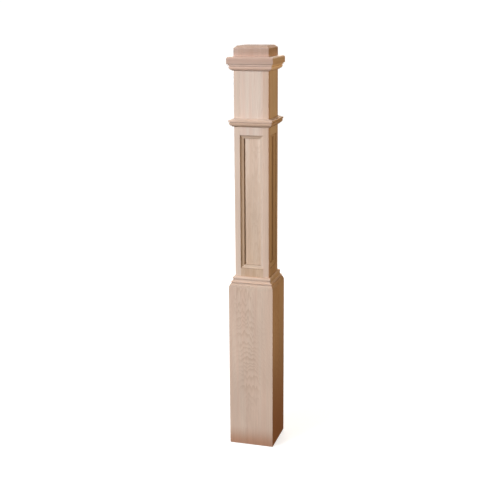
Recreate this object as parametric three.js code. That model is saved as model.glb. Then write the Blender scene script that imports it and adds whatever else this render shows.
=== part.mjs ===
// A hollow box newel post for a staircase, in plain hardwood, standing on the floor.
//
// A square shaft of boards, with a framed flat panel on each face, goes down into a wider boxed base.
// Mitred mouldings wrap the shaft above the base, at the neck and under the cap, and a solid block
// closes the top. The post is open below, so that it can be set down over a block on the floor.
//
// Millimetres, +Z up. The origin is on the floor, at the centre of the base. The front face looks along -Y.

import * as THREE from "three";

// Driving dimensions

// The boards
const SHAFT_WIDE = 120; // across two opposite faces of the shaft
const BOARD = 19; // thickness of the boards, in the shaft and in the base
const STILE_WIDE = 20; // the square sticks at the corners of the shaft
const PANEL_THICK = 6.3;
const SHAFT_LAP = 100; // how far the shaft goes down inside the base
const JOINT = 0.3; // the glue line between two pieces that touch

// The heights of what shows, from the floor up, between the mouldings
const BASE_HIGH = 598;
const BOTTOM_RAIL_SHOWS = 28.6; // from the base moulding to the panel opening
const OPENING_HIGH = 460.7; // the opening that holds a panel and its four mouldings
const TOP_RAIL_SHOWS = 28.8; // from the panel opening to the neck moulding
const PLAIN_HIGH = 156; // the plain stretch that takes the handrail
const BLOCK_HIGH = 35.3;

// The rounded shoulder of a base board
const SHOULDER_ROUND = 30; // radius of the curve
const SHOULDER_TURN = 36; // degrees that the curve turns in before it meets the top edge

// The chamfer round the top of the cap block
const CHAMFER_IN = 10;
const CHAMFER_HIGH = 8;

// The base moulding, from its foot up: a fillet, a groove, a cove and a quarter round
const BASE_FILLET_OUT = 12.5;
const BASE_FILLET_HIGH = 1.5;
const BASE_GROOVE_IN = 2.6;
const BASE_GROOVE_HIGH = 2.7;
const BASE_COVE_OUT = 13.5;
const BASE_COVE_LIP = 1.6;
const BASE_COVE_WIDE = 6.8;
const BASE_COVE_HIGH = 8.2;
const BASE_QUIRK_IN = 2.3;
const BASE_QUIRK_HIGH = 2.2;
const BASE_ROUND_OUT = 8;
const BASE_ROUND_LIP = 2.4;
const BASE_ROUND_HIGH = 6.8;

// The neck moulding, from its foot up: a fillet, an ovolo, a groove and a nose with a sloping top
const NECK_FILLET_OUT = 6;
const NECK_FILLET_HIGH = 2.5;
const NECK_OVOLO_WIDE = 8;
const NECK_OVOLO_HIGH = 10.7;
const NECK_GROOVE_IN = 2.2;
const NECK_GROOVE_HIGH = 2.3;
const NECK_NOSE_OUT = 15.5;
const NECK_NOSE_HIGH = 4.8;
const NECK_NOSE_ROUND = 1.5;
const NECK_SLOPE_HIGH = 5.7;

// The cap moulding, from its foot up: a fillet, an ovolo, a groove, a flat band and a broad nose
const CAP_FILLET_OUT = 5;
const CAP_FILLET_HIGH = 2;
const CAP_OVOLO_WIDE = 8.5;
const CAP_OVOLO_HIGH = 11.4;
const CAP_GROOVE_IN = 2.2;
const CAP_GROOVE_HIGH = 2.7;
const CAP_BAND_OUT = 15.5;
const CAP_BAND_HIGH = 4.1;
const CAP_QUIRK_IN = 1;
const CAP_QUIRK_HIGH = 0.8;
const CAP_NOSE_OUT = 19.5;
const CAP_NOSE_FOOT_ROUND = 1.2;
const CAP_NOSE_FLAT = 15.5;
const CAP_NOSE_TOP_ROUND = 7;

// The panel moulding, from the edge of the opening inwards: a lip, a shallow cove and a small bead
const TRIM_BELOW_FACE = 2.2; // its lip stays this far under the face of the stile
const TRIM_LIP_WIDE = 1.5;
const TRIM_LIP_DEEP = 0.5;
const TRIM_COVE_WIDE = 7.2;
const TRIM_COVE_DEEP = 4.2;
const TRIM_COVE_DISH = 0.3; // 0 is a straight slope, and 1 fills the corner below it
const TRIM_BEAD_WIDE = 1.4;
const TRIM_BEAD_ROUND = 1.2;

// Steps in each curve of an outline
const CURVE_STEPS = 5;

// Sizes that follow from these

const SIDES = ["front", "right", "back", "left"];
const shaftHalf = SHAFT_WIDE / 2;
const openingHalf = shaftHalf - STILE_WIDE;
const mitreBack = JOINT / Math.SQRT2;
const degree = Math.PI / 180;

// Outlines

// An outline starts at the back lower corner and runs out and up. x is the way out from the face that
// the piece is fixed to, and y is the way up.
function startAt(x, y) {
  const outline = new THREE.Shape();
  outline.moveTo(x, y);
  return outline;
}

function curve(outline, centreX, centreY, wide, high, fromTurn, toTurn) {
  const clockwise = toTurn < fromTurn;
  outline.absellipse(centreX, centreY, wide, high, fromTurn * degree, toTurn * degree, clockwise);
}

function baseMouldingOutline() {
  const outline = startAt(JOINT, 0);
  let up = 0;
  outline.lineTo(BASE_FILLET_OUT, up);
  up += BASE_FILLET_HIGH;
  outline.lineTo(BASE_FILLET_OUT, up);
  outline.lineTo(BASE_FILLET_OUT - BASE_GROOVE_IN, up);
  up += BASE_GROOVE_HIGH;
  outline.lineTo(BASE_FILLET_OUT - BASE_GROOVE_IN, up);
  outline.lineTo(BASE_COVE_OUT, up);
  up += BASE_COVE_LIP;
  outline.lineTo(BASE_COVE_OUT, up);
  up += BASE_COVE_HIGH;
  curve(outline, BASE_COVE_OUT, up, BASE_COVE_WIDE, BASE_COVE_HIGH, 270, 180);
  const quirk = BASE_COVE_OUT - BASE_COVE_WIDE - BASE_QUIRK_IN;
  outline.lineTo(quirk, up);
  up += BASE_QUIRK_HIGH;
  outline.lineTo(quirk, up);
  outline.lineTo(BASE_ROUND_OUT, up);
  up += BASE_ROUND_LIP;
  outline.lineTo(BASE_ROUND_OUT, up);
  curve(outline, JOINT, up, BASE_ROUND_OUT - JOINT, BASE_ROUND_HIGH, 0, 90);
  return outline;
}

function neckMouldingOutline() {
  const outline = startAt(JOINT, 0);
  let up = 0;
  outline.lineTo(NECK_FILLET_OUT, up);
  up += NECK_FILLET_HIGH + NECK_OVOLO_HIGH;
  curve(outline, NECK_FILLET_OUT, up, NECK_OVOLO_WIDE, NECK_OVOLO_HIGH, 270, 360);
  const groove = NECK_FILLET_OUT + NECK_OVOLO_WIDE - NECK_GROOVE_IN;
  outline.lineTo(groove, up);
  up += NECK_GROOVE_HIGH;
  outline.lineTo(groove, up);
  outline.lineTo(NECK_NOSE_OUT, up);
  up += NECK_NOSE_HIGH;
  const noseIn = NECK_NOSE_OUT - NECK_NOSE_ROUND;
  curve(outline, noseIn, up, NECK_NOSE_ROUND, NECK_NOSE_ROUND, 0, 90);
  up += NECK_NOSE_ROUND + NECK_SLOPE_HIGH;
  outline.lineTo(JOINT, up);
  return outline;
}

function capMouldingOutline() {
  const outline = startAt(JOINT, 0);
  let up = 0;
  outline.lineTo(CAP_FILLET_OUT, up);
  up += CAP_FILLET_HIGH + CAP_OVOLO_HIGH;
  curve(outline, CAP_FILLET_OUT, up, CAP_OVOLO_WIDE, CAP_OVOLO_HIGH, 270, 360);
  const groove = CAP_FILLET_OUT + CAP_OVOLO_WIDE - CAP_GROOVE_IN;
  outline.lineTo(groove, up);
  up += CAP_GROOVE_HIGH;
  outline.lineTo(groove, up);
  outline.lineTo(CAP_BAND_OUT, up);
  up += CAP_BAND_HIGH;
  outline.lineTo(CAP_BAND_OUT, up);
  outline.lineTo(CAP_BAND_OUT - CAP_QUIRK_IN, up);
  up += CAP_QUIRK_HIGH;
  outline.lineTo(CAP_BAND_OUT - CAP_QUIRK_IN, up);
  up += CAP_NOSE_FOOT_ROUND;
  const footIn = CAP_NOSE_OUT - CAP_NOSE_FOOT_ROUND;
  curve(outline, footIn, up, CAP_NOSE_FOOT_ROUND, CAP_NOSE_FOOT_ROUND, 270, 360);
  up += CAP_NOSE_FLAT;
  const topIn = CAP_NOSE_OUT - CAP_NOSE_TOP_ROUND;
  curve(outline, topIn, up, CAP_NOSE_TOP_ROUND, CAP_NOSE_TOP_ROUND, 0, 90);
  up += CAP_NOSE_TOP_ROUND;
  outline.lineTo(JOINT, up);
  return outline;
}

// Here x runs inwards from the edge of the opening, and y runs forwards from the panel.
function panelMouldingOutline() {
  const lip = BOARD - PANEL_THICK - TRIM_BELOW_FACE;
  const coveTop = lip - TRIM_LIP_DEEP;
  const bead = coveTop - TRIM_COVE_DEEP;
  const coveStart = JOINT + TRIM_LIP_WIDE;
  const coveEnd = coveStart + TRIM_COVE_WIDE;
  const beadEnd = coveEnd + TRIM_BEAD_WIDE;
  const outline = startAt(JOINT, JOINT);
  outline.lineTo(beadEnd + TRIM_BEAD_ROUND, JOINT);
  curve(outline, beadEnd, bead - TRIM_BEAD_ROUND, TRIM_BEAD_ROUND, TRIM_BEAD_ROUND, 0, 90);
  outline.lineTo(coveEnd, bead);
  const middle = new THREE.Vector2(coveStart + coveEnd, bead + coveTop).multiplyScalar(0.5);
  const pull = middle.lerp(new THREE.Vector2(coveStart, bead), TRIM_COVE_DISH);
  outline.quadraticCurveTo(pull.x, pull.y, coveStart, coveTop);
  outline.lineTo(coveStart, lip);
  outline.lineTo(JOINT, lip);
  return outline;
}

function baseBoardOutline() {
  const face = JOINT + BOARD;
  const curveHigh = SHOULDER_ROUND * Math.sin(SHOULDER_TURN * degree);
  const curveStart = BASE_HIGH - curveHigh;
  const outline = startAt(JOINT, 0);
  outline.lineTo(face, 0);
  curve(outline, face - SHOULDER_ROUND, curveStart, SHOULDER_ROUND, SHOULDER_ROUND, 0, SHOULDER_TURN);
  outline.lineTo(JOINT, BASE_HIGH);
  return outline;
}

function outlineHeight(outline) {
  const heights = outline.getPoints(CURVE_STEPS).map((point) => point.y);
  return Math.max(...heights) - Math.min(...heights);
}

// The front of an upper board is marked off where the neck and cap mouldings lie on it. The plain
// stretch between them is a face of its own, which takes the end of a handrail.
function upperBoardOutline() {
  const outline = startAt(0, openingTop);
  [openingTop, plainFoot, capMouldingFoot, shaftTop].forEach((up) => outline.lineTo(BOARD, up));
  outline.lineTo(0, shaftTop);
  return outline;
}

// Where the pieces stand, from the floor up
const baseMouldingFoot = BASE_HIGH + JOINT;
const openingFoot = baseMouldingFoot + outlineHeight(baseMouldingOutline()) + BOTTOM_RAIL_SHOWS;
const openingTop = openingFoot + OPENING_HIGH;
const neckFoot = openingTop + TOP_RAIL_SHOWS;
const plainFoot = neckFoot + outlineHeight(neckMouldingOutline());
const capMouldingFoot = plainFoot + PLAIN_HIGH;
const shaftTop = capMouldingFoot + outlineHeight(capMouldingOutline());
const shaftFoot = BASE_HIGH - SHAFT_LAP;

// Pieces

const woods = {
  shaft: { color: 0xd6bda6, roughness: 0.72 },
  panel: { color: 0xd9bb9c, roughness: 0.72 },
  moulding: { color: 0xd2ae93, roughness: 0.68 },
  base: { color: 0xcbac94, roughness: 0.74 },
  cap: { color: 0xc4a08a, roughness: 0.7 },
};

function addPiece(group, name, geometry, wood) {
  const material = new THREE.MeshStandardMaterial({ ...woods[wood], metalness: 0 });
  const piece = new THREE.Mesh(geometry, material);
  piece.name = name;
  group.add(piece);
  return piece;
}

// A board between two corners, each given as x, y and z
function board(low, high) {
  const size = high.map((value, axis) => value - low[axis]);
  const centre = high.map((value, axis) => (value + low[axis]) / 2);
  return new THREE.BoxGeometry(...size).translate(...centre);
}

// A length of wood that lies along x, with its outline in the y and z plane. halfAt gives half its
// length at each distance out from its back, so that its ends can be square or mitred.
function cutLength(outline, halfAt) {
  const options = { depth: 1, bevelEnabled: false, curveSegments: CURVE_STEPS };
  const geometry = new THREE.ExtrudeGeometry(outline, options);
  const place = geometry.attributes.position;
  for (let i = 0; i < place.count; i += 1) {
    const out = place.getX(i);
    const up = place.getY(i);
    const end = 1 - 2 * place.getZ(i);
    place.setXYZ(i, end * halfAt(out), -out, up);
  }
  geometry.computeVertexNormals();
  return geometry;
}

// A mitred length on one face of the shaft. It grows longer outwards, so that four of them close round it.
function wrappedLength(outline) {
  const geometry = cutLength(outline, (out) => shaftHalf + out - mitreBack);
  return geometry.translate(0, -shaftHalf, 0);
}

// The four mouldings that hold a panel in its opening, each growing shorter inwards
function addPanelMouldings(group, side) {
  const frame = new THREE.Group();
  frame.position.set(0, -(shaftHalf - BOARD + PANEL_THICK), (openingFoot + openingTop) / 2);
  group.add(frame);
  ["bottom", "right", "top", "left"].forEach((edge, turn) => {
    const alongHalf = turn % 2 === 0 ? openingHalf : OPENING_HIGH / 2;
    const acrossHalf = turn % 2 === 0 ? OPENING_HIGH / 2 : openingHalf;
    const outline = panelMouldingOutline();
    const geometry = cutLength(outline, (inwards) => alongHalf - inwards - mitreBack);
    // Its back goes down to the edge of the opening and its face turns forwards
    geometry.rotateZ(Math.PI).rotateX(Math.PI / 2);
    geometry.translate(0, 0, -acrossHalf).rotateY((-turn * Math.PI) / 2);
    addPiece(frame, `panel_moulding_${side}_${edge}`, geometry, "moulding");
  });
}

function addSide(post, side, turn) {
  const group = new THREE.Group();
  group.rotation.z = (turn * Math.PI) / 2;
  post.add(group);

  // Between the two corner stiles: a bottom rail, a thin panel and an upper board, flush inside
  const between = openingHalf - JOINT;
  const inner = -(shaftHalf - BOARD);
  const rail = board([-between, -shaftHalf, shaftFoot], [between, inner, openingFoot]);
  addPiece(group, `bottom_rail_${side}`, rail, "shaft");
  const upper = cutLength(upperBoardOutline(), () => between).translate(0, inner, 0);
  addPiece(group, `upper_board_${side}`, upper, "shaft");
  const panelLow = [-between, inner - PANEL_THICK, openingFoot + JOINT];
  const panelHigh = [between, inner, openingTop - JOINT];
  addPiece(group, `panel_${side}`, board(panelLow, panelHigh), "panel");
  addPanelMouldings(group, side);

  // Round the outside, each mitred to its neighbours
  addPiece(group, `base_board_${side}`, wrappedLength(baseBoardOutline()), "base");
  const baseMoulding = wrappedLength(baseMouldingOutline());
  addPiece(group, `base_moulding_${side}`, baseMoulding, "moulding").position.z = baseMouldingFoot;
  const neckMoulding = wrappedLength(neckMouldingOutline());
  addPiece(group, `neck_moulding_${side}`, neckMoulding, "moulding").position.z = neckFoot;
  const capMoulding = wrappedLength(capMouldingOutline());
  addPiece(group, `cap_moulding_${side}`, capMoulding, "cap").position.z = capMouldingFoot;

  // The stile at the right-hand end of this side
  const nextSide = SIDES[(turn + 1) % SIDES.length];
  const stile = board([openingHalf, -shaftHalf, shaftFoot], [shaftHalf, -openingHalf, shaftTop]);
  addPiece(group, `corner_stile_${side}_${nextSide}`, stile, "shaft");
}

// The cap block: a square slab with a chamfer round its top. Its rings are squares, from the foot up.
function capBlock() {
  const rings = [
    [shaftHalf, 0],
    [shaftHalf, BLOCK_HIGH - CHAMFER_HIGH],
    [shaftHalf - CHAMFER_IN, BLOCK_HIGH],
  ];
  const cornerOut = Math.SQRT2;
  const points = [[0, 0], ...rings.map(([half, up]) => [half * cornerOut, up]), [0, BLOCK_HIGH]];
  const profile = points.map(([out, up]) => new THREE.Vector2(out, up));
  const squareTurn = Math.PI / 4;
  return new THREE.LatheGeometry(profile, SIDES.length, squareTurn).rotateX(Math.PI / 2);
}

const post = new THREE.Group();
SIDES.forEach((side, turn) => addSide(post, side, turn));
addPiece(post, "cap_block", capBlock(), "cap").position.z = shaftTop + JOINT;

export default post;
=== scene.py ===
import math

import bmesh
import bpy
from mathutils import Matrix, Vector


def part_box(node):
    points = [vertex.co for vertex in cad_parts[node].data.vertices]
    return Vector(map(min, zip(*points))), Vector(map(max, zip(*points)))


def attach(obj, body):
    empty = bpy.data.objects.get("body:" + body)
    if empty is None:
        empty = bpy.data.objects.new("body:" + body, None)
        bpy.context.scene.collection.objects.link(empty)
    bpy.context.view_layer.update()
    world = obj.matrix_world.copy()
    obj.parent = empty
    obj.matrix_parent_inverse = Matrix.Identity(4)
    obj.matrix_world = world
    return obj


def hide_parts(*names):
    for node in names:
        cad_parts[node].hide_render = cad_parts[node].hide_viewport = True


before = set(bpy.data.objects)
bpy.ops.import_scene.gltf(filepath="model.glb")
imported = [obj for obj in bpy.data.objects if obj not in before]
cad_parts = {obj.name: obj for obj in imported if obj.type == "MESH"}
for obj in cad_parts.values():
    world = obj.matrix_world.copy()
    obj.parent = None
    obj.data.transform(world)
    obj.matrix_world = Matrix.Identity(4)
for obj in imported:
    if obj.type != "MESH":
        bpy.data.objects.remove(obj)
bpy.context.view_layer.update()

# Corner stiles
#
# Four square sticks of straight-grained hardwood, 20 mm thick, that run the whole height of the shaft and
# carry its boards and panels. They are planed square and glued up, and the outer arris is sanded round.

MM = 0.001
SIDES = ["front", "right", "back", "left"]
SEAM = 0.1 * MM  # what shows of a glued joint
CAD_JOINT = 0.3 * MM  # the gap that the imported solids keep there
PLANED_EDGE = 0.18 * MM
STILE_ARRIS, STILE_ARRIS_STEPS = 1.1 * MM, 4
STAYS_SHARP = 28  # an edge that turns more than this, in degrees, isn't smoothed over

# Bare sanded hardwood: the pale ground, its pinker streaks, and the darker late wood of each year
STILE_COLOURS = [
    ((0.73, 0.563, 0.458), (0.72, 0.505, 0.402), (0.59, 0.404, 0.29)),
    ((0.74, 0.60, 0.49), (0.72, 0.54, 0.43), (0.60, 0.43, 0.32)),
    ((0.74, 0.60, 0.49), (0.72, 0.54, 0.43), (0.60, 0.43, 0.32)),
    ((0.74, 0.60, 0.50), (0.74, 0.58, 0.475), (0.60, 0.43, 0.33)),
]
# Late wood starts slowly, is full and stops sharply at these parts of a year, and years are as uneven as this
LATE_START, LATE_FULL, LATE_STOP, UNEVEN_YEARS = 0.3, 0.9, 0.93, 1.6
# How much fibres, threads of them and clouds lighten and darken the wood, and pores and hollows darken it
FIBRE_TONE, THREAD_TONE, CLOUD_TONE, PORE_DARK, HOLLOW_DARK = 0.2, 0.17, 0.28, 0.28, 0.35
# How far a rounded arris and a worn edge go towards rubbed wood, and the pale tone that is mixed into it
ARRIS_RUBBED, EDGE_RUBBED, RUBBED_PALE = 0.3, 0.5, (0.92, 0.89, 0.87)
# The roughness of the wood, and what fibres, late wood and end grain add to it
ROUGH, FIBRE_ROUGH, LATE_ROUGH, END_ROUGH = 0.52, 0.2, -0.08, 0.15
# Shares of fibres, late wood and pores in the relief, how deep it is, and how strongly it shows
FIBRE_RELIEF, LATE_RELIEF, PORE_RELIEF, GRAIN_RELIEF, GRAIN_BUMP = 0.55, 0.3, 0.8, 0.12 * MM, 0.35
WOOD_SPECULAR = 0.28


def put(tree, kind, inputs=(), **settings):
    """A node, with its settings and its inputs. An input is a number, a colour or another node's socket."""
    node = tree.nodes.new(kind)
    for key, value in settings.items():
        setattr(node, key, value)
    for key, value in dict(inputs).items():
        if isinstance(value, bpy.types.NodeSocket):
            tree.links.new(value, node.inputs[key])
        else:
            node.inputs[key].default_value = value
    return node


def math_in(tree):
    """A function that adds a Math node to a tree and gives its result."""

    def result(operation, *values, clamp=False):
        node = put(tree, "ShaderNodeMath", enumerate(values), operation=operation)
        node.use_clamp = clamp
        return node.outputs[0]

    return result


def sawn_figure():
    """The figure of a sawn board, in millimetres, with the grain along Z and the face across X. Years are
    shells round the pith, which lies behind the board and leans, so that a flat-sawn face shows arches and a
    rift face lines."""
    tree = bpy.data.node_groups.new("sawn_figure", "ShaderNodeTree")
    face = tree.interface
    for name, kind in (
        ("Board", "Vector"),
        ("Facing", "Vector"),
        ("Seed", "Float"),
        ("Pith Across", "Float"),
        ("Pith Behind", "Float"),
        ("Pith Bend", "Float"),
        ("Upright Below", "Float"),
        ("Upright Above", "Float"),
        ("Year", "Float"),
        ("Wave", "Float"),
        ("Figure", "Float"),
        ("Arch Half", "Float"),
        ("End Grain", "Float"),
        ("Pale", "Color"),
        ("Warm", "Color"),
        ("Late", "Color"),
    ):
        face.new_socket(name, in_out="INPUT", socket_type=f"NodeSocket{kind}")
    for name, kind in (("Colour", "Color"), ("Roughness", "Float"), ("Relief", "Float")):
        face.new_socket(name, in_out="OUTPUT", socket_type=f"NodeSocket{kind}")
    given = tree.nodes.new("NodeGroupInput").outputs
    maths = math_in(tree)

    def noise(across, along, detail=2.0, shift=0.0):
        """Noise whose spots are so many millimetres across and along the grain."""
        moved = put(tree, "ShaderNodeVectorMath", {0: seeded, 1: (shift, shift * 0.7, shift * 0.3)},
                    operation="ADD").outputs[0]
        scaled = put(tree, "ShaderNodeVectorMath", {0: moved, 1: (1 / across, 1 / across, 1 / along)},
                     operation="MULTIPLY").outputs[0]
        return put(tree, "ShaderNodeTexNoise", {"Vector": scaled, "Scale": 1.0, "Detail": detail}).outputs

    def sway(value, much):
        """Noise as a change up or down, times so much."""
        return maths("MULTIPLY", maths("SUBTRACT", value, 0.5), much)

    def swing(value, low, high):
        """A smooth step from 0 to 1 between two values."""
        return put(tree, "ShaderNodeMapRange", {"Value": value, "From Min": low, "From Max": high},
                   interpolation_type="SMOOTHSTEP").outputs[0]

    def without(share):
        """What is left of 1 after a share."""
        return maths("SUBTRACT", 1.0, share)

    def blend(share, first, second):
        """One colour passing into another, each a colour or a socket."""
        node = put(tree, "ShaderNodeMix", data_type="RGBA")
        for socket, value in zip((node.inputs[0], node.inputs[6], node.inputs[7]), (share, first, second)):
            if isinstance(value, bpy.types.NodeSocket):
                tree.links.new(value, socket)
            else:
                socket.default_value = (*value, 1.0) if isinstance(value, tuple) else value
        return node.outputs[2]

    # Each board comes from another place in the tree
    spread = put(tree, "ShaderNodeCombineXYZ", {0: maths("MULTIPLY", given["Seed"], 313.0),
                                                1: maths("MULTIPLY", given["Seed"], 171.0),
                                                2: maths("MULTIPLY", given["Seed"], 727.0)}).outputs[0]
    seeded = put(tree, "ShaderNodeVectorMath", {0: given["Board"], 1: spread}, operation="ADD").outputs[0]

    # The stem waves, broadly and in small ripples
    at = put(tree, "ShaderNodeSeparateXYZ", {0: given["Board"]}).outputs
    broad = put(tree, "ShaderNodeSeparateColor", {0: noise(60, 260)["Color"]}).outputs
    small = put(tree, "ShaderNodeSeparateColor", {0: noise(15, 80, shift=50)["Color"]}).outputs
    both = [maths("ADD", maths("SUBTRACT", broad[axis], 0.5), sway(small[axis], 0.8)) for axis in (0, 1)]
    waves = [maths("MULTIPLY", given["Wave"], wave) for wave in both]

    # The pith stands upright below one height and above another, and draws away from the face between them
    leaning = swing(at[2], given["Upright Below"], given["Upright Above"])
    bent = maths("MULTIPLY", leaning, given["Pith Bend"])
    aside = maths("ADD", maths("SUBTRACT", at[0], given["Pith Across"]), waves[0])
    aside = maths("ADD", aside, maths("MULTIPLY", bent, 0.3))
    behind = maths("ADD", maths("ADD", maths("SUBTRACT", given["Pith Behind"], at[1]), bent), waves[1])

    # Years are counted outwards from it, and each ends in a band of late wood
    radius = maths("SQRT", maths("ADD", maths("POWER", aside, 2.0), maths("POWER", behind, 2.0)))
    years = maths("DIVIDE", radius, given["Year"])
    along_years = maths("ADD", maths("MULTIPLY", years, 0.37), given["Seed"])
    uneven = put(tree, "ShaderNodeTexNoise", {"W": along_years, "Scale": 1.0, "Detail": 1.0},
                 noise_dimensions="1D").outputs[0]
    part = maths("FRACT", maths("ADD", years, maths("MULTIPLY", uneven, UNEVEN_YEARS)))
    late = maths("MULTIPLY", swing(part, LATE_START, LATE_FULL), without(swing(part, LATE_STOP, 1.0)))

    # The figure comes and goes, fades at the sides of the arches, and is faint where the pith stands upright
    patchy = maths("ADD", 0.45, maths("MULTIPLY", 1.1, noise(45, 300, shift=90)[0]))
    faded = swing(maths("DIVIDE", maths("ABSOLUTE", aside), given["Arch Half"]), 0.6, 1.2)
    started = maths("MULTIPLY", leaning, 7.0, clamp=True)
    strength = maths("MULTIPLY", given["Figure"], patchy)
    strength = maths("MULTIPLY", strength, without(maths("MULTIPLY", faded, 0.7)))
    strength = maths("MULTIPLY", strength, maths("ADD", 0.3, maths("MULTIPLY", started, 0.7)))
    late = maths("MULTIPLY", late, strength, clamp=True)

    # Streaks of colour, clouds, fibres, threads of fibres, and short dark pores
    streak = swing(noise(17, 700, 3.0, shift=140)[0], 0.36, 0.66)
    cloud = noise(90, 260, 2.0, shift=200)[0]
    fibre = noise(0.75, 42, 3.0, shift=260)[0]
    thread = noise(2.6, 160, 2.0, shift=300)[0]
    pore = swing(noise(0.32, 4.5, 1.0, shift=340)[0], 0.66, 0.76)

    # How far the face is cut across the grain, and the marks on its points: hollow is above 0 where dirt and
    # shade gather and below 0 on a worn edge, and arris is 1 on a rounded one
    across_grain = put(tree, "ShaderNodeSeparateXYZ", {0: given["Facing"]}).outputs[2]
    across_grain = swing(maths("ABSOLUTE", across_grain), 0.0, 0.85)
    wear = put(tree, "ShaderNodeAttribute", attribute_name="hollow").outputs["Fac"]
    hollow, worn = maths("MAXIMUM", wear, 0.0), maths("MAXIMUM", maths("MULTIPLY", wear, -1.0), 0.0)
    arris = put(tree, "ShaderNodeAttribute", attribute_name="arris").outputs["Fac"]

    # Colour: the ground and its streaks, late wood, pores, and paler wood where it is rubbed
    colour = blend(streak, given["Pale"], given["Warm"])
    colour = blend(late, colour, given["Late"])
    colour = blend(maths("MULTIPLY", pore, PORE_DARK), colour, given["Late"])
    rubbed = maths("MAXIMUM", maths("MULTIPLY", arris, ARRIS_RUBBED), maths("MULTIPLY", worn, EDGE_RUBBED))
    colour = blend(rubbed, colour, blend(0.3, given["Pale"], RUBBED_PALE))

    # Tone: the grain, darker end grain and darker hollows
    tone = maths("ADD", sway(fibre, FIBRE_TONE), sway(thread, THREAD_TONE))
    tone = maths("ADD", tone, sway(cloud, CLOUD_TONE))
    tone = maths("SUBTRACT", maths("ADD", tone, 1.0), maths("MULTIPLY", across_grain, given["End Grain"]))
    tone = maths("MULTIPLY", tone, without(maths("MULTIPLY", hollow, HOLLOW_DARK)))
    colour = put(tree, "ShaderNodeVectorMath", {0: colour, "Scale": tone}, operation="SCALE").outputs[0]

    # Late wood is smoother and stands a little proud, end grain is rougher, and pores are sunk
    rough = maths("ADD", ROUGH, maths("MULTIPLY", fibre, FIBRE_ROUGH))
    rough = maths("ADD", rough, maths("MULTIPLY", late, LATE_ROUGH))
    rough = maths("ADD", rough, maths("MULTIPLY", across_grain, END_ROUGH))
    relief = maths("SUBTRACT", maths("MULTIPLY", fibre, FIBRE_RELIEF), maths("MULTIPLY", pore, PORE_RELIEF))
    relief = maths("ADD", relief, maths("MULTIPLY", late, LATE_RELIEF))
    put(tree, "NodeGroupOutput", {0: colour, 1: rough, 2: relief})
    return tree


SAWN_FIGURE = sawn_figure()
boards_cut = 0


def bare_wood(piece, turn, along_x, colours, pith, year, figure, bend=8.0, bent=(-400.0, 400.0), wave=8.0,
              arch_half=1000.0, end_grain=0.3, tints=()):
    """Bare sanded wood for one piece. Its figure is centred on the piece, turned to the side of the post that
    it is on, and laid along the piece. pith is where the pith lies, so far across and behind, and bent is
    between which heights it leans, in millimetres. Each of tints is a height with its full colour, a height
    where it has gone, and the colour."""
    global boards_cut
    boards_cut += 1
    wood = piece.data.materials[0]
    wood.use_nodes = True
    tree = wood.node_tree
    shader = tree.nodes["Principled BSDF"]
    to_board = Matrix.Rotation(-turn * math.pi / 2, 3, "Z")
    if along_x:
        to_board = Matrix.Rotation(-math.pi / 2, 3, "Y") @ to_board
    corners = [Vector(corner) for corner in piece.bound_box]
    centre = (corners[0] + corners[6]) / 2 / MM
    place = put(tree, "ShaderNodeTexCoord")
    turned = to_board.to_euler()
    laid = {"Location": -(to_board @ centre), "Rotation": turned, "Scale": (1 / MM,) * 3}
    board = put(tree, "ShaderNodeMapping", {"Vector": place.outputs["Object"], **laid})
    facing = put(tree, "ShaderNodeMapping", {"Vector": place.outputs["Normal"], "Rotation": turned})
    drawn = put(tree, "ShaderNodeGroup", node_tree=SAWN_FIGURE)
    tree.links.new(board.outputs[0], drawn.inputs["Board"])
    tree.links.new(facing.outputs[0], drawn.inputs["Facing"])
    numbers = {"Seed": boards_cut * 1.37, "Pith Across": pith[0], "Pith Behind": pith[1], "Pith Bend": bend,
               "Upright Below": bent[0], "Upright Above": bent[1], "Year": year, "Wave": wave,
               "Figure": figure, "Arch Half": arch_half, "End Grain": end_grain}
    for name, value in numbers.items():
        drawn.inputs[name].default_value = value
    for name, value in zip(("Pale", "Warm", "Late"), colours):
        drawn.inputs[name].default_value = (*value, 1.0)
    bump = put(tree, "ShaderNodeBump", {"Height": drawn.outputs["Relief"], "Strength": GRAIN_BUMP,
                                        "Distance": GRAIN_RELIEF})
    colour = drawn.outputs["Colour"]
    up = put(tree, "ShaderNodeSeparateXYZ", {0: place.outputs["Object"]}).outputs[2]
    for full, gone, tint in tints:
        share = put(tree, "ShaderNodeMapRange", {"Value": up, "From Min": full, "From Max": gone},
                    interpolation_type="SMOOTHSTEP").outputs[0]
        fading = put(tree, "ShaderNodeMix", {0: share, 6: (*tint, 1.0), 7: (1.0, 1.0, 1.0, 1.0)},
                     data_type="RGBA").outputs[2]
        colour = put(tree, "ShaderNodeMix", {0: 1.0, 6: colour, 7: fading}, data_type="RGBA",
                     blend_type="MULTIPLY").outputs[2]
    tree.links.new(colour, shader.inputs["Base Color"])
    tree.links.new(drawn.outputs["Roughness"], shader.inputs["Roughness"])
    tree.links.new(bump.outputs[0], shader.inputs["Normal"])
    shader.inputs["Specular IOR Level"].default_value = WOOD_SPECULAR


def new_piece(node, shape):
    """A piece for one of the post's nodes, with a shape that has been drawn and a material for its wood."""
    mesh = bpy.data.meshes.new(f"finished_{node}")
    shape.to_mesh(mesh)
    shape.free()
    mesh.materials.append(bpy.data.materials.new(f"bare_{mesh.name}"))
    piece = bpy.data.objects.new(mesh.name, mesh)
    bpy.context.collection.objects.link(piece)
    return piece


def fix_in_place(piece, node):
    """Shades a piece, lets it ride on the post and stand for its solid."""
    piece.data.polygons.foreach_set("use_smooth", [True] * len(piece.data.polygons))
    piece.data.set_sharp_from_angle(angle=math.radians(STAYS_SHARP))
    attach(piece, "root")
    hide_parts(node)


def ease(shape, edges, wide, steps):
    """Rounds edges of a shape, and marks them as an arris."""
    made = bmesh.ops.bevel(shape, geom=edges, offset=wide, segments=steps, profile=0.5, affect="EDGES",
                           clamp_overlap=True)
    mark = shape.loops.layers.float["arris"]
    for face in made["faces"]:
        for loop in face.loops:
            loop[mark] = 1.0


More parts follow.
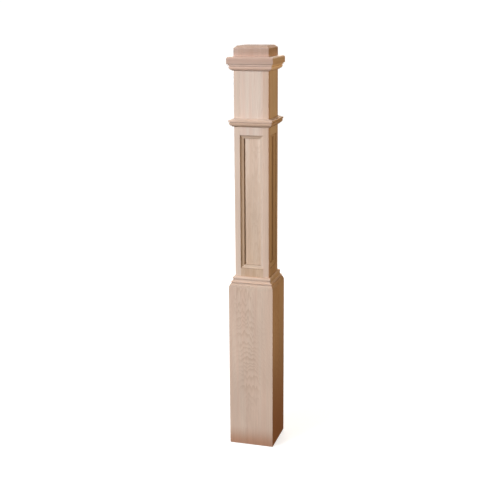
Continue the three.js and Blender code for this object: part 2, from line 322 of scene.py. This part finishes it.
def stick(node, grow=(0, 0, 0), eased_edges=None):
    """A planed board or stick as large as its solid, or a little larger, with its edges just taken off.
    eased_edges says of an edge's middle, measured from the post's axis, whether sandpaper has rounded it."""
    low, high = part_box(node)
    low, high = low - Vector(grow), high + Vector(grow)
    shape = bmesh.new()
    bmesh.ops.create_cube(shape, size=1.0)
    for point in shape.verts:
        point.co = Vector(low[i] if point.co[i] < 0 else high[i] for i in range(3))
    shape.loops.layers.float.new("arris")
    eased = [e for e in shape.edges if eased_edges and eased_edges((e.verts[0].co + e.verts[1].co) / 2)]
    rest = [e for e in shape.edges if e not in eased]
    if eased:
        ease(shape, eased, STILE_ARRIS, STILE_ARRIS_STEPS)
    ease(shape, [e for e in rest if e.is_valid], PLANED_EDGE, 1)
    return new_piece(node, shape)


shaft_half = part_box("corner_stile_front_right")[1].x
for turn, side in enumerate(SIDES):
    node = f"corner_stile_{side}_{SIDES[(turn + 1) % 4]}"
    stile = stick(node, eased_edges=lambda middle: min(abs(middle.x), abs(middle.y)) > shaft_half - MM)
    bare_wood(stile, turn, False, STILE_COLOURS[turn], (-46 + 9 * turn, 70), year=1.7, figure=0.35)
    fix_in_place(stile, node)

# Bottom rails
#
# Short boards, planed and glued between the stiles below each panel. They are of the same hardwood, and they
# run on down inside the base, out of sight.

RAIL_COLOURS = (0.652, 0.486, 0.354), (0.614, 0.426, 0.295), (0.49, 0.323, 0.207)


def between_stiles(node, turn):
    """A board that is wide enough for only a glued joint to show at the stiles on both sides of it."""
    wider = CAD_JOINT - SEAM
    return stick(node, grow=(wider, 0, 0) if turn % 2 == 0 else (0, wider, 0))


for turn, side in enumerate(SIDES):
    rail = between_stiles(f"bottom_rail_{side}", turn)
    bare_wood(rail, turn, False, RAIL_COLOURS, (12 - 8 * turn, 95), year=2.0, figure=0.5, bend=16)
    fix_in_place(rail, f"bottom_rail_{side}")

# Upper boards
#
# One planed board on each face, of fine straight grain, from the top of the panel to the top of the shaft. It
# is glued between the stiles, and is the plain stretch that a handrail butts against.

UPPER_COLOURS = (0.79, 0.665, 0.575), (0.775, 0.605, 0.51), (0.65, 0.49, 0.39)

for turn, side in enumerate(SIDES):
    upper = between_stiles(f"upper_board_{side}", turn)
    bare_wood(upper, turn, False, UPPER_COLOURS, (58 - 20 * turn, 64), year=1.9, figure=0.42)
    fix_in_place(upper, f"upper_board_{side}")

# Panels
#
# A thin flat board behind each opening, from a flat-sawn plank, so that its grain leans and arches a little.
# It is held by the mouldings and isn't glued to the stiles.

PANEL_COLOURS = (0.78, 0.635, 0.525), (0.75, 0.575, 0.455), (0.63, 0.455, 0.33)
PANEL_LOW_TINT = (0.90, 0.86, 0.80)
# The width of the painted shade line round each panel, just inside its mouldings
PANEL_SHADE_LINE_WIDE = 1.6 * MM
TRIM_REACH = 11.4 * MM  # how far in its mouldings cover it


def paint_shade_line(piece, turn, covered, wide):
    """Marks a narrow line of painted shade on a panel's face, where it goes under its mouldings and their
    shadow falls.
    """
    shape = bmesh.new()
    shape.from_mesh(piece.data)
    hollow = shape.verts.layers.float.new("hollow")
    way = Matrix.Rotation(turn * math.pi / 2, 3, "Z") @ Vector((0, -1, 0))
    face = max(shape.faces, key=lambda f: (f.normal.dot(way) > 0.99, f.calc_area()))
    for inset, mark in ((covered, 1.0), (wide, 0.0)):
        bmesh.ops.inset_region(shape, faces=[face], thickness=inset, use_even_offset=True)
        for point in face.verts:
            point[hollow] = mark
    shape.to_mesh(piece.data)
    shape.free()


for turn, side in enumerate(SIDES):
    panel = stick(f"panel_{side}")
    paint_shade_line(panel, turn, TRIM_REACH - CAD_JOINT, PANEL_SHADE_LINE_WIDE)
    low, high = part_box(f"panel_{side}")
    bare_wood(panel, turn, False, PANEL_COLOURS, (22 - 7 * turn, 74), year=2.9, figure=0.3, bend=30, wave=16,
              tints=[(low.z, high.z, PANEL_LOW_TINT)])
    fix_in_place(panel, f"panel_{side}")

# Panel mouldings
#
# Four strips round each panel, mitred at the corners: a lip against the stile, a cove and a small bead. They
# are run by a moulding cutter, cut to length, and glued and pinned into the opening.

TRIM_EDGES = ["bottom", "right", "top", "left"]
# One set of colours for each edge of a panel, the same wood lit and shaded: the left edge's are darkest and
# brownest, a painted shade, and the right edge's palest, a painted light
TRIM_LIT_AND_SHADED_COLOURS = [
    ((0.635, 0.472, 0.343), (0.615, 0.432, 0.297), (0.485, 0.32, 0.205)),
    ((0.65, 0.51, 0.405), (0.63, 0.465, 0.355), (0.49, 0.34, 0.235)),
    ((0.66, 0.49, 0.365), (0.635, 0.445, 0.315), (0.49, 0.325, 0.21)),
    ((0.573, 0.402, 0.262), (0.553, 0.367, 0.226), (0.42, 0.261, 0.148)),
]
BOARD_THICK = 19 * MM
PANEL_THICK = 6.3 * MM
OPENING_HALF = 40 * MM
TRIM_BELOW_FACE = 2.2 * MM
TRIM_LIP_WIDE, TRIM_LIP_DEEP = 1.5 * MM, 0.5 * MM
TRIM_COVE_WIDE, TRIM_COVE_DEEP = 7.2 * MM, 4.2 * MM
TRIM_COVE_DISH = 0.3  # 0 is a straight slope, and 1 fills the corner
TRIM_BEAD_ROUND, TRIM_BEAD_STEPS = 1.2 * MM, 8
TRIM_SANDED = 0.25 * MM
CURVE_STEPS = 14
SANDED = 0.35 * MM  # how far sandpaper has rounded the sharp edges of a moulding
WEAR_REACH = 1.1 * MM  # how wide the paler edges and the darker hollows are
IN_A_CURVE = 150  # a corner wider than this, in degrees, belongs to a curve and stays as it is
SAME_POINT = 1e-6
MITRE_GAP = SEAM / 2


def arc(centre, wide, high, start, stop, steps=CURVE_STEPS):
    """Points along a quarter, or another part, of an ellipse. Turns are in degrees."""
    turns = [math.radians(start + (stop - start) * i / steps) for i in range(steps + 1)]
    return [(centre[0] + wide * math.cos(t), centre[1] + high * math.sin(t)) for t in turns]


def dished(start, end, dish):
    """Points along a shallow hollow curve from one point back and up to another."""
    start, end = Vector(start), Vector(end)
    pull = start.lerp(end, 0.5).lerp(Vector((end.x, start.y)), dish)
    shares = [i / CURVE_STEPS for i in range(CURVE_STEPS + 1)]
    return [tuple(start.lerp(pull, t).lerp(pull.lerp(end, t), t)) for t in shares]


def sanded_outline(points, radius=SANDED, inner=1.0, back=1.0, foot=1.0):
    """A closed outline whose sharp corners are rounded, as x, y and hollow. Hollow is 0 on its sides and -1
    on the corners that hands and sandpaper have worn. It is inner in inner corners, and back and foot at the
    back and at the foot, where the piece meets another."""
    outline = []
    points = [Vector(p) for i, p in enumerate(points) if math.dist(p, points[i - 1]) > SAME_POINT]
    for i, here in enumerate(points):
        before, on = points[i - 1] - here, points[(i + 1) % len(points)] - here
        bend = before.angle(on)
        hollow_corner = -before.x * on.y + before.y * on.x < 0
        if bend > math.radians(IN_A_CURVE):
            outline.append((*here, 0.0))
            continue
        joint = CAD_JOINT + SEAM
        hollow = inner if hollow_corner else back if here.x < joint else foot if here.y < joint else -1.0
        reach_before, reach_on = (min(WEAR_REACH, way.length * 0.45) for way in (before, on))
        outline.append((*(here + before.normalized() * reach_before), 0.0))
        if hollow_corner:
            outline.append((*here, hollow))
        else:
            cut = min(radius / math.tan(bend / 2), reach_before * 0.8, reach_on * 0.8)
            first, last = here + before.normalized() * cut, here + on.normalized() * cut
            for share in (0.0, 0.33, 0.67, 1.0):
                point = first.lerp(here, share).lerp(here.lerp(last, share), share)
                outline.append((*point, hollow))
        outline.append((*(here + on.normalized() * reach_on), 0.0))
    return outline


def mitred_length_tree():
    """Sweeps an outline along a straight length. At each end it is cut at 45 degrees, and grows longer or
    shorter by the slope as it goes out. The arris where two lengths meet is rounded, half of it on each."""
    tree = bpy.data.node_groups.new("mitred_length", "GeometryNodeTree")
    for name, kind in (
        ("Outline", "Object"),
        ("Half Length", "Float"),
        ("Mitre Slope", "Float"),
        ("Mitre Gap", "Float"),
        ("Arris Round", "Float"),
        ("Arris Steps", "Int"),
        ("Wood", "Material"),
    ):
        tree.interface.new_socket(name, in_out="INPUT", socket_type=f"NodeSocket{kind}")
    tree.interface.new_socket("Geometry", in_out="OUTPUT", socket_type="NodeSocketGeometry")
    given = tree.nodes.new("NodeGroupInput").outputs
    maths = math_in(tree)

    def keep(geometry, name, value):
        """Stores a number on each point under a name."""
        inputs = {"Geometry": geometry, "Name": name, "Value": value}
        store = put(tree, "GeometryNodeStoreNamedAttribute", inputs, data_type="FLOAT", domain="POINT")
        return store.outputs[0]

    def kept(name):
        """The number that each point has under a name."""
        return put(tree, "GeometryNodeInputNamedAttribute", {"Name": name}, data_type="FLOAT").outputs[0]

    # The outline remembers how far out and up each of its points is
    shape = put(tree, "GeometryNodeObjectInfo", {"Object": given["Outline"]}).outputs["Geometry"]
    position = tree.nodes.new("GeometryNodeInputPosition").outputs[0]
    place = put(tree, "ShaderNodeSeparateXYZ", {0: position}).outputs
    shape = keep(keep(shape, "out", place[0]), "up", place[1])
    shape = put(tree, "GeometryNodeMeshToCurve", {"Mesh": shape}).outputs[0]

    # The path has a few points for the rounding at each end. Each knows its end and how far it has bent.
    steps = given["Arris Steps"]
    last = maths("ADD", maths("MULTIPLY", steps, 2.0), 1.0)
    count = maths("ADD", last, 1.0)
    path = tree.nodes.new("GeometryNodeCurvePrimitiveLine").outputs[0]
    path = put(tree, "GeometryNodeResampleCurve", {"Curve": path, "Count": count}).outputs[0]
    index = tree.nodes.new("GeometryNodeInputIndex").outputs[0]
    end = maths("SIGN", maths("SUBTRACT", index, maths("DIVIDE", last, 2.0)))
    inward = maths("MINIMUM", index, maths("SUBTRACT", last, index))
    bend = maths("SUBTRACT", 1.0, maths("DIVIDE", inward, steps))
    path = keep(keep(path, "end", end), "arris", bend)
    swept = put(tree, "GeometryNodeCurveToMesh", {"Curve": path, "Profile Curve": shape, "Fill Caps": True})

    # Each point goes where its outline and its end put it
    angle = maths("MULTIPLY", kept("arris"), math.pi / 4)
    drawn_in = maths("MULTIPLY", given["Arris Round"], maths("SUBTRACT", 1.0, maths("COSINE", angle)))
    shortened = maths("MULTIPLY", given["Arris Round"], maths("SUBTRACT", 1.0, maths("SINE", angle)))
    reach = maths("ADD", given["Half Length"], maths("MULTIPLY", given["Mitre Slope"], kept("out")))
    reach = maths("SUBTRACT", maths("SUBTRACT", reach, given["Mitre Gap"]), shortened)
    goes_to = put(tree, "ShaderNodeCombineXYZ", {0: maths("MULTIPLY", kept("end"), reach),
                                                 1: maths("SUBTRACT", drawn_in, kept("out")),
                                                 2: kept("up")}).outputs[0]
    length = swept.outputs[0]
    length = put(tree, "GeometryNodeSetPosition", {"Geometry": length, "Position": goes_to}).outputs[0]
    length = put(tree, "GeometryNodeRealizeInstances", {"Geometry": length}).outputs[0]
    length = put(tree, "GeometryNodeSetMaterial", {"Geometry": length, "Material": given["Wood"]}).outputs[0]
    put(tree, "NodeGroupOutput", {0: length})
    return tree


MITRED_LENGTH = mitred_length_tree()


def mitred_length(node, outline, half_length, slope, place, arris_round=0.0, arris_steps=0):
    """A mitred length of an outline, as a mesh, moved to its place on the post."""
    count = len(outline)
    edges = [(i, (i + 1) % count) for i in range(count)]
    drawing = bpy.data.meshes.new("outline")
    drawing.from_pydata([(x, y, 0) for x, y, _ in outline], edges, [])
    hollow = drawing.attributes.new("hollow", "FLOAT", "POINT")
    hollow.data.foreach_set("value", [mark for _, _, mark in outline])
    drawing = bpy.data.objects.new("outline", drawing)
    bpy.context.collection.objects.link(drawing)
    piece = new_piece(node, bmesh.new())
    blank = piece.data
    cutter = piece.modifiers.new("mitred_length", "NODES")
    cutter.node_group = MITRED_LENGTH
    named = {"Outline": drawing, "Half Length": half_length, "Mitre Slope": slope, "Mitre Gap": MITRE_GAP,
             "Arris Round": arris_round, "Arris Steps": arris_steps, "Wood": blank.materials[0]}
    for item in MITRED_LENGTH.interface.items_tree:
        if item.in_out == "INPUT":
            cutter[item.identifier] = named[item.name]
    now = bpy.context.evaluated_depsgraph_get()
    cut = bpy.data.meshes.new_from_object(piece.evaluated_get(now))
    piece.modifiers.clear()
    piece.data = cut
    bpy.data.meshes.remove(blank)
    cut.name = piece.name
    bpy.data.meshes.remove(drawing.data)
    for name in ("out", "up", "end"):
        cut.attributes.remove(cut.attributes[name])
    shape = bmesh.new()
    shape.from_mesh(cut)
    bmesh.ops.recalc_face_normals(shape, faces=shape.faces)
    shape.to_mesh(cut)
    shape.free()
    cut.transform(place)
    return piece


trim_lip = BOARD_THICK - PANEL_THICK - TRIM_BELOW_FACE
trim_cove_top = trim_lip - TRIM_LIP_DEEP
trim_cove_start = SEAM + TRIM_LIP_WIDE
trim_cove_end = trim_cove_start + TRIM_COVE_WIDE
trim_bead_top = trim_cove_top - TRIM_COVE_DEEP
trim_bead = TRIM_REACH - TRIM_BEAD_ROUND, trim_bead_top - TRIM_BEAD_ROUND
trim_outline = sanded_outline([
    (SEAM, SEAM),
    (TRIM_REACH, SEAM),
    *arc(trim_bead, TRIM_BEAD_ROUND, TRIM_BEAD_ROUND, 0, 90, TRIM_BEAD_STEPS),
    *dished((trim_cove_end, trim_bead_top), (trim_cove_start, trim_cove_top), TRIM_COVE_DISH),
    (trim_cove_start, trim_lip),
    (SEAM, trim_lip),
], TRIM_SANDED, back=0.0)
opening_foot, opening_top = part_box("bottom_rail_front")[1].z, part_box("upper_board_front")[0].z
opening_high = opening_top - opening_foot
panel_face = shaft_half - BOARD_THICK + PANEL_THICK

for turn, side in enumerate(SIDES):
    to_side = Matrix.Rotation(turn * math.pi / 2, 4, "Z")
    to_opening = to_side @ Matrix.Translation((0, -panel_face, (opening_foot + opening_top) / 2))
    for edge_turn, edge in enumerate(TRIM_EDGES):
        flat = edge_turn % 2 == 0
        along, across = (OPENING_HALF, opening_high / 2) if flat else (opening_high / 2, OPENING_HALF)
        to_edge = Matrix.Rotation(-edge_turn * math.pi / 2, 4, "Y")
        tip = Matrix.Rotation(math.pi / 2, 4, "X") @ Matrix.Rotation(math.pi, 4, "Z")
        place = to_edge @ Matrix.Translation((0, 0, -across)) @ tip
        node = f"panel_moulding_{side}_{edge}"
        trim = mitred_length(node, trim_outline, along, -1.0, to_opening @ place)
        bare_wood(trim, turn, flat, TRIM_LIT_AND_SHADED_COLOURS[edge_turn], (30 - 17 * edge_turn, 50), year=1.6, figure=0.4)
        fix_in_place(trim, node)

# Base boards
#
# Four flat-sawn boards, 19 mm thick, mitred at the corners round the foot of the shaft and glued. The top
# edge is run to a rounded shoulder, and the foot is cut off square. The front has a strong cathedral figure.

BASE_COLOURS = [
    ((0.715, 0.56, 0.455), (0.70, 0.52, 0.415), (0.55, 0.38, 0.275)),
    ((0.722, 0.522, 0.387), (0.712, 0.486, 0.344), (0.567, 0.355, 0.236)),
    ((0.715, 0.56, 0.455), (0.70, 0.52, 0.42), (0.55, 0.38, 0.275)),
    ((0.71, 0.55, 0.44), (0.69, 0.51, 0.40), (0.55, 0.38, 0.265)),
]
# Tints of the foot and of the shoulder: where each is full, where it has gone, in millimetres, and its colour
DARK_FOOT = 0, 76, (0.73, 0.53, 0.43)
BASE_FEET = [DARK_FOOT, (0, 470, (0.60, 0.385, 0.25)), DARK_FOOT, DARK_FOOT]
# The shoulder's tints are a painted shade over its rounded part and a painted highlight along its top edge
SHOULDER_PAINTED_SHADE_AND_HIGHLIGHT = [(-8, -20, (0.86, 0.86, 0.86)), (-1.5, -6, (1.16, 1.16, 1.16))]
SHOULDER_ROUND = 30 * MM
SHOULDER_TURN = 36
BASE_SANDED = 0.8 * MM
BASE_ARRIS, BASE_ARRIS_STEPS = 1.4 * MM, 5


def tints_from(level, tints):
    """Tints whose heights are given in millimetres above a level, or under it where they are negative."""
    return [(level + full * MM, level + gone * MM, tint) for full, gone, tint in tints]


base_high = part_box("base_board_front")[1].z
base_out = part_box("base_board_right")[1].x - shaft_half
shoulder_start = base_high - SHOULDER_ROUND * math.sin(math.radians(SHOULDER_TURN))
base_outline = sanded_outline([
    (CAD_JOINT, 0.0),
    (base_out, 0.0),
    *arc((base_out - SHOULDER_ROUND, shoulder_start), SHOULDER_ROUND, SHOULDER_ROUND, 0, SHOULDER_TURN),
    (CAD_JOINT, base_high),
], BASE_SANDED)

for turn, side in enumerate(SIDES):
    place = Matrix.Rotation(turn * math.pi / 2, 4, "Z") @ Matrix.Translation((0, -shaft_half, 0))
    base = mitred_length(f"base_board_{side}", base_outline, shaft_half, 1.0, place, BASE_ARRIS,
                         BASE_ARRIS_STEPS)
    bare_wood(base, turn, False, BASE_COLOURS[turn], (-2 + 5 * turn, 62), year=4.8, figure=0.5, bend=84,
              bent=(-190, 300), wave=20, arch_half=34.0, end_grain=0.1,
              tints=tints_from(0.0, [BASE_FEET[turn]]) + tints_from(base_high, SHOULDER_PAINTED_SHADE_AND_HIGHLIGHT))
    fix_in_place(base, f"base_board_{side}")

# Base mouldings
#
# A small fillet, a groove, a cove and a quarter round, run on one length of wood and mitred round the shaft.
# Each lies on the top edges of the base boards and is glued to the shaft.

BASE_MOULDING_COLOURS = (0.73, 0.56, 0.455), (0.72, 0.52, 0.41), (0.57, 0.39, 0.28)
MOULDING_ARRIS, MOULDING_ARRIS_STEPS = 0.6 * MM, 4
DOWN = 270  # the turn that points down


def members(*steps, back_high=None):
    """An outline from its members, from the foot up. Each is how far out it is and how high it is. A curve is
    how far out its middle is, how high and wide it is, and the turns that it starts and stops at. The top is
    flat, or slopes up to the height that is given for its back."""
    points, up = [(SEAM, 0.0)], 0.0
    for out, high, *curve in steps:
        if curve:
            wide, start, stop = curve
            points += arc((out, up + high if start == DOWN else up), wide, high, start, stop)
        else:
            points += [(out, up), (out, up + high)]
        up += high
    if points[-1][0] > SEAM + SAME_POINT:
        points.append((SEAM, back_high or up))
    return points


def wrap(name, outline, colours, tints=()):
    """Four mitred lengths round the shaft. Each is on the foot of its solid, where its tints start."""
    for turn, side in enumerate(SIDES):
        node = f"{name}_{side}"
        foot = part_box(node)[0].z
        place = Matrix.Rotation(turn * math.pi / 2, 4, "Z") @ Matrix.Translation((0, -shaft_half, foot))
        length = mitred_length(node, outline, shaft_half, 1.0, place, MOULDING_ARRIS, MOULDING_ARRIS_STEPS)
        bare_wood(length, turn, True, colours[turn], (24 + 13 * turn, 48), year=1.7, figure=0.5,
                  tints=tints_from(foot, tints))
        fix_in_place(length, node)


wrap("base_moulding", sanded_outline(members(
    (12.5 * MM, 1.5 * MM),  # fillet
    (9.9 * MM, 2.7 * MM),  # groove
    (13.5 * MM, 1.6 * MM),  # foot of the cove
    (13.5 * MM, 8.2 * MM, 6.8 * MM, DOWN, 180),  # cove
    (4.4 * MM, 2.2 * MM),  # quirk
    (8.0 * MM, 2.4 * MM),  # edge of the quarter round
    (SEAM, 6.8 * MM, 8.0 * MM - SEAM, 0, 90),  # quarter round
), foot=0.0), [BASE_MOULDING_COLOURS] * 4)

# Neck mouldings
#
# A band of the same hardwood, mitred round the shaft and glued on above the panels: a fillet, a quarter
# round, a groove and a square nose with a sloping top.

NECK_COLOURS = (0.703, 0.549, 0.449), (0.698, 0.515, 0.407), (0.56, 0.384, 0.281)
NECK_HIGH = 27.5  # in millimetres, as in its tints
NECK_CORNER_SHADE = 2.0  # how dark the painted shade in its inner corners is, where 1 is usual
# Tints of the foot, a painted shadow under the band, of all below the nose, and of the sloping top, a painted
# cool light on it
NECK_TINTS = [
    (0, 3.5, (0.60, 0.52, 0.42)),
    (14, 18, (1.1, 1.06, 1.02)),
    (NECK_HIGH, 19, (1.03, 1.07, 1.14)),
]

wrap("neck_moulding", sanded_outline(members(
    (6.0 * MM, 2.5 * MM),  # fillet
    (6.0 * MM, 10.7 * MM, 8.0 * MM, DOWN, 360),  # quarter round
    (11.8 * MM, 2.3 * MM),  # groove
    (15.5 * MM, 4.8 * MM),  # nose
    (14.0 * MM, 1.5 * MM, 1.5 * MM, 0, 90),  # its rounded edge
    back_high=NECK_HIGH * MM,
), inner=NECK_CORNER_SHADE), [NECK_COLOURS] * 4, NECK_TINTS)

# Cap mouldings
#
# The widest mouldings, run in hardwood and mitred round the top of the shaft: a fillet, a quarter round, a
# groove, a flat band, a thin quirk and a broad bull nose. The block sits on their top face.

# One set of colours for each side; the right side's are much paler, a painted light on that shaded side
CAP_COLOURS_PAINTED_LIGHT_RIGHT = [
    ((0.60, 0.445, 0.37), (0.575, 0.395, 0.32), (0.44, 0.295, 0.22)),
    ((0.795, 0.64, 0.535), (0.765, 0.572, 0.467), (0.585, 0.415, 0.31)),
    ((0.62, 0.455, 0.37), (0.59, 0.405, 0.32), (0.45, 0.30, 0.22)),
    ((0.60, 0.445, 0.37), (0.575, 0.395, 0.32), (0.44, 0.295, 0.22)),
]
# How dark the painted shade in its inner corners is, where 1 is usual
CAP_CORNER_SHADE = 1.5
# Tints of the foot, a painted shadow, of all below the nose, and of its rounded top, a painted highlight
CAP_TINTS = [
    (0, 3.2, (0.70, 0.66, 0.62)),
    (11, 25, (1.46, 1.48, 1.47)),
    (45, 38, (1.14, 1.16, 1.18)),
]

wrap("cap_moulding", sanded_outline(members(
    (5.0 * MM, 2.0 * MM),  # fillet
    (5.0 * MM, 11.4 * MM, 8.5 * MM, DOWN, 360),  # quarter round
    (11.3 * MM, 2.7 * MM),  # groove
    (15.5 * MM, 4.1 * MM),  # flat band
    (14.5 * MM, 0.8 * MM),  # quirk
    (18.3 * MM, 1.2 * MM, 1.2 * MM, DOWN, 360),  # lower edge of the bull nose
    (19.5 * MM, 15.5 * MM),  # its face
    (12.5 * MM, 7.0 * MM, 7.0 * MM, 0, 90),  # its rounded top
), inner=CAP_CORNER_SHADE), CAP_COLOURS_PAINTED_LIGHT_RIGHT, CAP_TINTS)

# Cap block
#
# One solid block of hardwood, as wide as the shaft, glued on the end of it. A chamfer is planed round its
# top, and its faces are sanded. Its wood is a little darker and more mottled.

BLOCK_COLOURS = (0.535, 0.38, 0.31), (0.50, 0.34, 0.265), (0.39, 0.25, 0.185)
# A painted light at the foot of the block, as if thrown up from the top of the cap mouldings
BLOCK_FOOT_PAINTED_BOUNCE = [(0, 16, (1.28, 1.30, 1.33))]
# A painted light on the chamfer, and a painted shade along the arris at the very top
BLOCK_TOP_PAINTED_LIGHT_AND_SHADE = [(-4, -10, (1.13, 1.13, 1.11)), (-0.2, -2.2, (0.66, 0.66, 0.68))]
BLOCK_ARRIS, BLOCK_ARRIS_STEPS = 0.9 * MM, 4
CHAMFER_IN, CHAMFER_HIGH = 10 * MM, 8 * MM

low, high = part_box("cap_block")
shape = bmesh.new()
rings = []
for inset, up in ((0, low.z - CAD_JOINT + SEAM), (0, high.z - CHAMFER_HIGH), (CHAMFER_IN, high.z)):
    half = high.x - inset
    corners = [(half, half, up), (-half, half, up), (-half, -half, up), (half, -half, up)]
    rings.append([shape.verts.new(corner) for corner in corners])
shape.faces.new(reversed(rings[0]))
shape.faces.new(rings[-1])
for lower, upper in zip(rings, rings[1:]):
    for i in range(4):
        shape.faces.new((lower[i], lower[i - 3], upper[i - 3], upper[i]))
bmesh.ops.recalc_face_normals(shape, faces=shape.faces)
shape.loops.layers.float.new("arris")
ease(shape, shape.edges[:], BLOCK_ARRIS, BLOCK_ARRIS_STEPS)
block = new_piece("cap_block", shape)
bare_wood(block, 0, False, BLOCK_COLOURS, (8, 60), year=2.4, figure=0.5, bend=60, bent=(-60, 60), wave=16,
          end_grain=0.03, tints=tints_from(low.z, BLOCK_FOOT_PAINTED_BOUNCE) + tints_from(high.z, BLOCK_TOP_PAINTED_LIGHT_AND_SHADE))
fix_in_place(block, "cap_block")

# Floor, light and camera
#
# A plain pale floor that curves up into a far pale wall. Four soft round lights: a large one high in front
# and to the left, a cool one above, one behind, and a weak warm one from the right. The camera looks a little
# down on the post and shows its front and its right side.

SWEEP_REACH, SWEEP_HIGH, SWEEP_SIDES = 60.0, 25.0, 64
# The floor's rim and the bends of the wall, as shares of its reach and of its height
SWEEP_RIMS = [(0.86, 0.0), (0.94, 0.02), (0.985, 0.09), (1.0, 0.25), (1.0, 1.0)]
FLOOR_COLOUR, FLOOR_ROUGH = (0.45, 0.45, 0.45, 1.0), 0.95
# Its glow is weaker up to the first distance from the post, and full from the second
GLOW_NEAR, GLOW_NEAR_ENDS, GLOW_FULL_FROM = 0.74, 0.8, 3.5

circle = [(math.cos(t), math.sin(t)) for t in (2 * math.pi * i / SWEEP_SIDES for i in range(SWEEP_SIDES))]
points = [
    (x * share * SWEEP_REACH, y * share * SWEEP_REACH, up * SWEEP_HIGH)
    for share, up in SWEEP_RIMS for x, y in circle
]
walls = [
    (ring * SWEEP_SIDES + i, ring * SWEEP_SIDES + (i + 1) % SWEEP_SIDES,
     (ring + 1) * SWEEP_SIDES + (i + 1) % SWEEP_SIDES, (ring + 1) * SWEEP_SIDES + i)
    for ring in range(len(SWEEP_RIMS) - 1) for i in range(SWEEP_SIDES)
]
floor_mesh = bpy.data.meshes.new("floor")
floor_mesh.from_pydata(points, [], [tuple(range(SWEEP_SIDES)), *walls])
floor_mesh.polygons.foreach_set("use_smooth", [face.index > 0 for face in floor_mesh.polygons])
floor = bpy.data.objects.new("floor", floor_mesh)
bpy.context.collection.objects.link(floor)
paint = bpy.data.materials.new("pale_floor")
paint.use_nodes = True
painted = paint.node_tree.nodes["Principled BSDF"].inputs
painted["Base Color"].default_value = FLOOR_COLOUR
painted["Roughness"].default_value = FLOOR_ROUGH
painted["Emission Color"].default_value = (1.0, 1.0, 1.0, 1.0)
outward = put(paint.node_tree, "ShaderNodeTexCoord").outputs["Object"]
outward = put(paint.node_tree, "ShaderNodeVectorMath", {0: outward}, operation="LENGTH").outputs["Value"]
reaches = {"Value": outward, "From Min": GLOW_NEAR_ENDS, "From Max": GLOW_FULL_FROM, "To Min": GLOW_NEAR}
glow = put(paint.node_tree, "ShaderNodeMapRange", reaches, interpolation_type="SMOOTHSTEP").outputs[0]
paint.node_tree.links.new(glow, painted["Emission Strength"])
floor_mesh.materials.append(paint)
floor.visible_diffuse = floor.visible_glossy = floor.visible_shadow = False


def soft_light(name, place, aim, wide, power, colour):
    """A round soft light, aimed at a point on the post or the floor."""
    lamp = bpy.data.lights.new(name, "AREA")
    lamp.shape, lamp.size, lamp.energy, lamp.color = "DISK", wide, power, colour
    light = bpy.data.objects.new(name, lamp)
    light.location = place
    light.rotation_euler = (Vector(place) - Vector(aim)).to_track_quat("Z", "Y").to_euler()
    bpy.context.collection.objects.link(light)


soft_light("key_light", (-3.8, -5.4, 3.0), (0, 0, 0.8), wide=2.4, power=450.0, colour=(0.965, 0.975, 1.0))
soft_light("top_light", (-0.25, -0.5, 4.5), (-0.25, -0.5, 0), wide=1.2, power=46.0, colour=(0.84, 0.93, 1.0))
soft_light("back_light", (-1.2, 3.6, 3.0), (0, 0, 0.8), wide=2.0, power=110.0, colour=(1.0, 0.92, 0.82))
soft_light("right_fill", (2.5, -0.35, 2.1), (0, 0, 1.0), wide=1.4, power=24.0, colour=(1.0, 0.69, 0.32))

# The room is brighter behind the post and below it, and it is warm on the right
ROOM_IN_FRONT, ROOM_BEHIND, ROOM_BELOW = 0.09, 0.35, 0.14
ROOM_LEFT, ROOM_RIGHT = (1.0, 0.98, 0.96, 1.0), (0.8, 0.52, 0.26, 1.0)

room = bpy.data.worlds.new("room")
bpy.context.scene.world = room
room.use_nodes = True
sky = room.node_tree
way = put(sky, "ShaderNodeTexCoord").outputs["Generated"]
way = put(sky, "ShaderNodeSeparateXYZ", {0: way}).outputs
behind = put(sky, "ShaderNodeMapRange", {"Value": way[1], "To Min": ROOM_IN_FRONT,
                                         "To Max": ROOM_BEHIND}).outputs[0]
to_right = put(sky, "ShaderNodeMapRange", {"Value": way[0], "From Min": -0.2, "From Max": 0.6},
               interpolation_type="SMOOTHSTEP").outputs[0]
glow = put(sky, "ShaderNodeMix", {0: to_right, 6: ROOM_LEFT, 7: ROOM_RIGHT}, data_type="RGBA").outputs[2]
below = put(sky, "ShaderNodeMapRange", {"Value": way[2], "From Min": 0.0, "From Max": -0.7,
                                        "To Max": ROOM_BELOW}).outputs[0]
sky.links.new(glow, sky.nodes["Background"].inputs["Color"])
sky.links.new(math_in(sky)("ADD", behind, below), sky.nodes["Background"].inputs["Strength"])

# The camera's turns, its distance from the post's axis, how far it is to the side, and the height it aims at
YAW, PITCH, ROLL = math.radians(16.33), math.radians(14.52), math.radians(-0.32)
CAMERA_BACK, CAMERA_ASIDE, CAMERA_AIM_HIGH = 3.28192, -0.02342, 0.70451
LENS, SENSOR_WIDE = 67.57, 36.0
SEES_FROM, SEES_TO = 0.1, 200.0

back = Vector((math.sin(YAW) * math.cos(PITCH), -math.cos(YAW) * math.cos(PITCH), math.sin(PITCH)))
right = Vector((math.cos(YAW), math.sin(YAW), 0))
up = back.cross(right)
rolled_right = right * math.cos(ROLL) + up * math.sin(ROLL)
rolled_up = up * math.cos(ROLL) - right * math.sin(ROLL)
turned = Matrix((rolled_right, rolled_up, back)).transposed().to_4x4()
stands_at = Vector((0, 0, CAMERA_AIM_HIGH)) + back * CAMERA_BACK + right * CAMERA_ASIDE
camera = bpy.data.objects.new("camera", bpy.data.cameras.new("camera"))
camera.data.lens, camera.data.sensor_width = LENS, SENSOR_WIDE
camera.data.clip_start, camera.data.clip_end = SEES_FROM, SEES_TO
camera.matrix_world = Matrix.Translation(stands_at) @ turned
bpy.context.collection.objects.link(camera)
bpy.context.scene.camera = camera
bpy.context.scene.view_settings.view_transform = "Standard"
